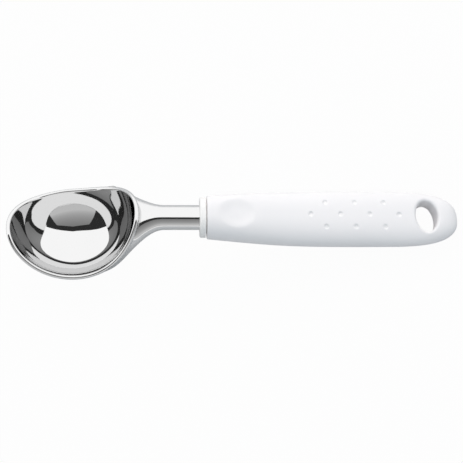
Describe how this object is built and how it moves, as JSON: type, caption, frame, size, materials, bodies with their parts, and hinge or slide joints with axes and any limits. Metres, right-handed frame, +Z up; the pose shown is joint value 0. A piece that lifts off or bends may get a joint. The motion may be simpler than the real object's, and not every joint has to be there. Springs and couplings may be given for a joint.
{
  "type": "ice_cream_scoop",
  "caption": "Ice cream scoop: polished steel bowl with a saddle-shaped rim, flared neck and a white moulded handle with a thumb rest and hang hole.",
  "frame": {"origin": "middle of the scoop's box on the table, with the scoop at rest on the bowl's bottom and the handle's heel, mouth up", "axes": "+X from the bowl towards the handle's end, +Z up out of the bowl's mouth, +Y to the left of a hand that holds the handle and points the bowl away"},
  "size_m": [0.2068, 0.046, 0.0368],
  "materials": {
    "bowl_steel": "mirror polished stainless steel",
    "neck_steel": "mirror polished stainless steel",
    "tang_steel": "plain, hidden in the handle",
    "core_plastic": "warm off-white moulding, fine satin",
    "grip_plastic": "cool white moulding, fine satin"
  },
  "bodies": {
    "root": {"bowl": "bowl_steel", "neck": "neck_steel", "tang": "tang_steel", "handle_core": "core_plastic", "handle_grip": "grip_plastic"}
  },
  "joints": []
}
